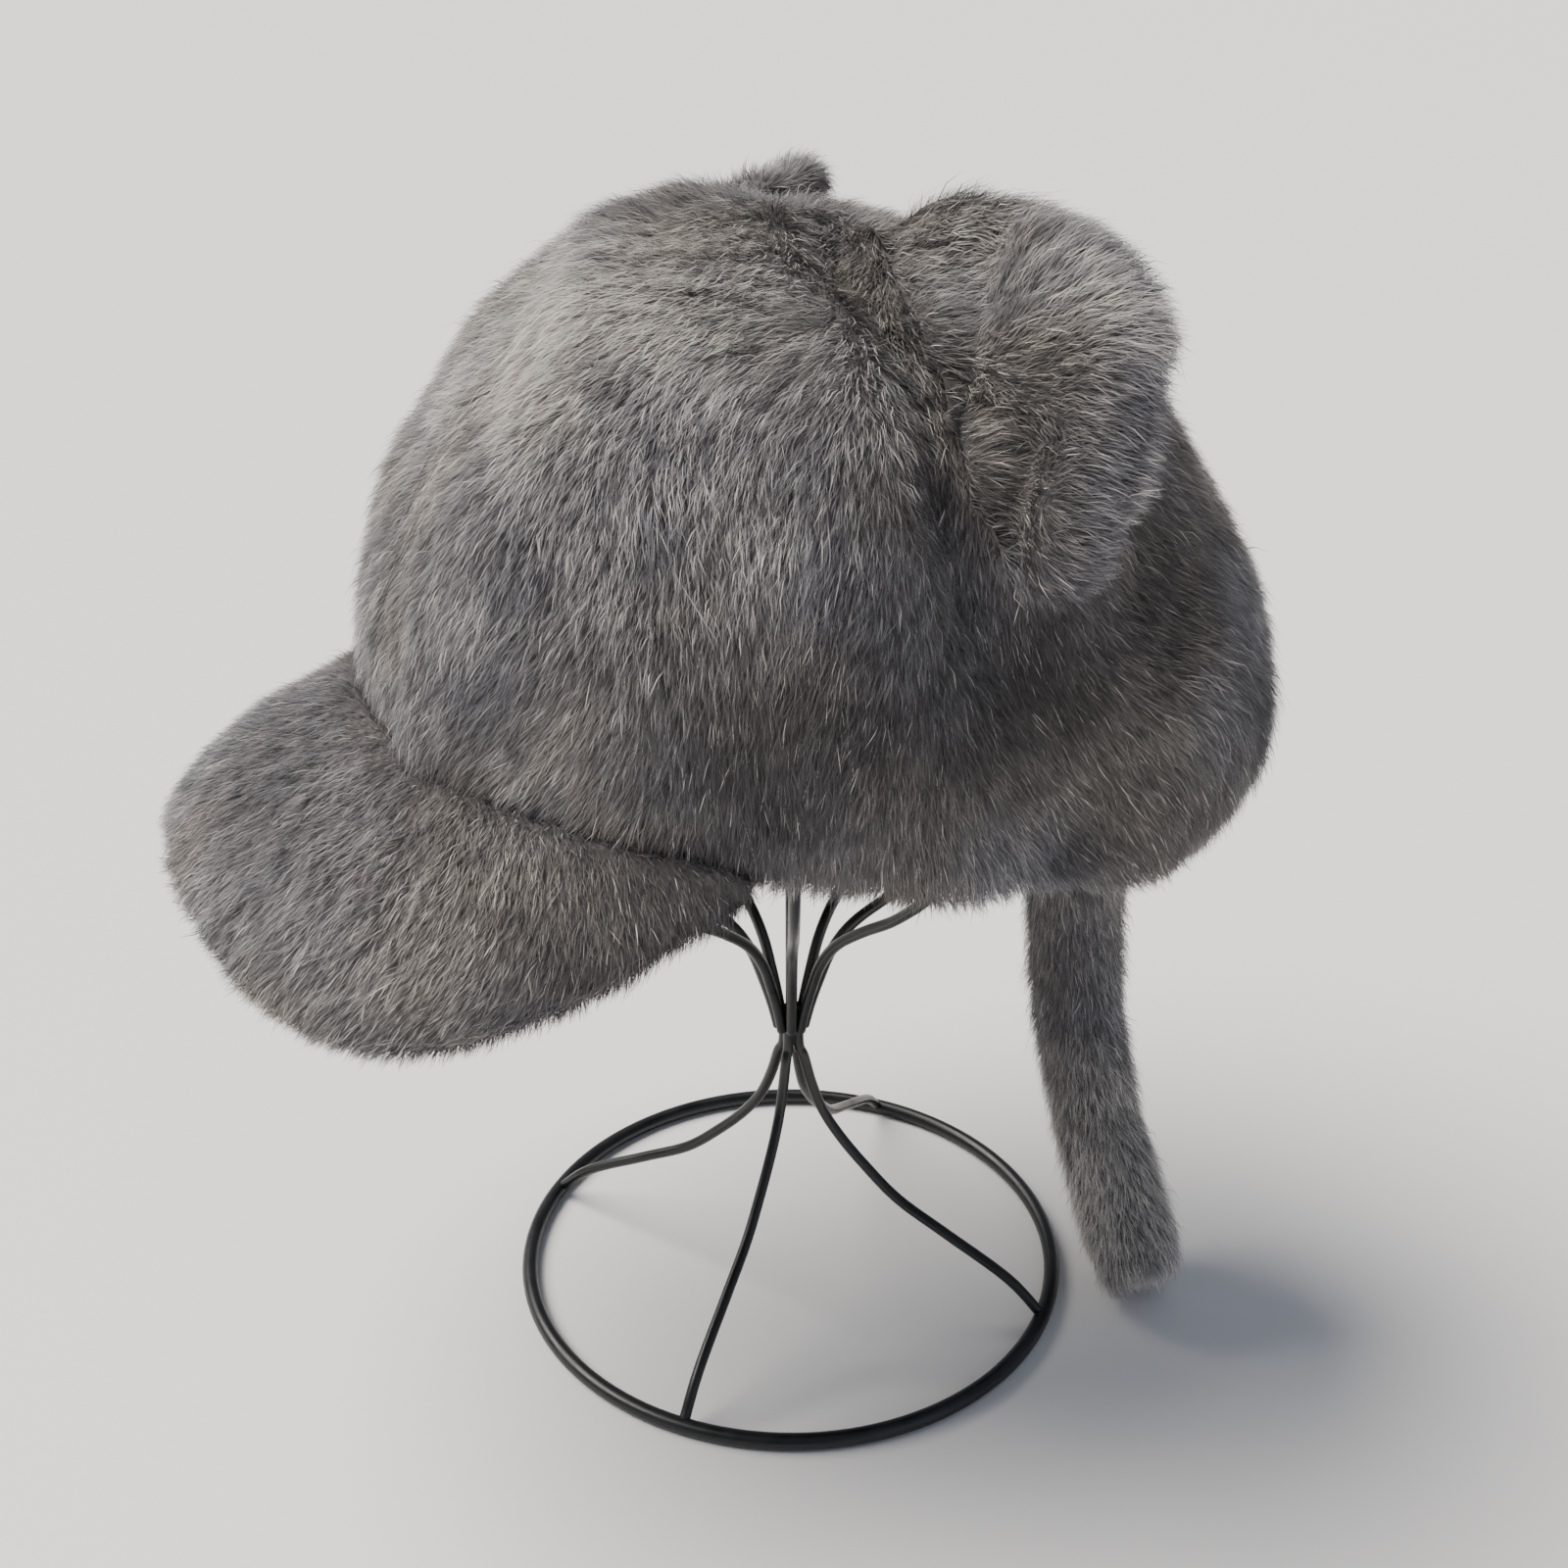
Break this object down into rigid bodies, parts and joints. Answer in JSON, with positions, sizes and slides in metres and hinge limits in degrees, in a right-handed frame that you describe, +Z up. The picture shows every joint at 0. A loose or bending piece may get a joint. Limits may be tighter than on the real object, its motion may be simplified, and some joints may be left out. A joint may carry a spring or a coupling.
{
  "type": "fur cat ear hat on wire hat stand",
  "caption": "Soft fur dome hat with a drooping padded peak, flopped cat ears and a hanging stuffed tail, on a wire cage stand with a floor ring.",
  "frame": {"origin": "on the floor, under the middle of the whole object's outline", "axes": "+Z up, the hat's front towards -Y, the wearer's left towards +X"},
  "size_m": [0.209, 0.2708, 0.3033],
  "materials": {
    "grey_fur": "short grey faux fur pile",
    "coated_wire": "satin black coating"
  },
  "bodies": {
    "root": {"crown": "grey_fur", "peak": "grey_fur", "ear_left": "grey_fur", "ear_right": "grey_fur", "tail": "grey_fur", "stand": "coated_wire"}
  },
  "joints": []
}
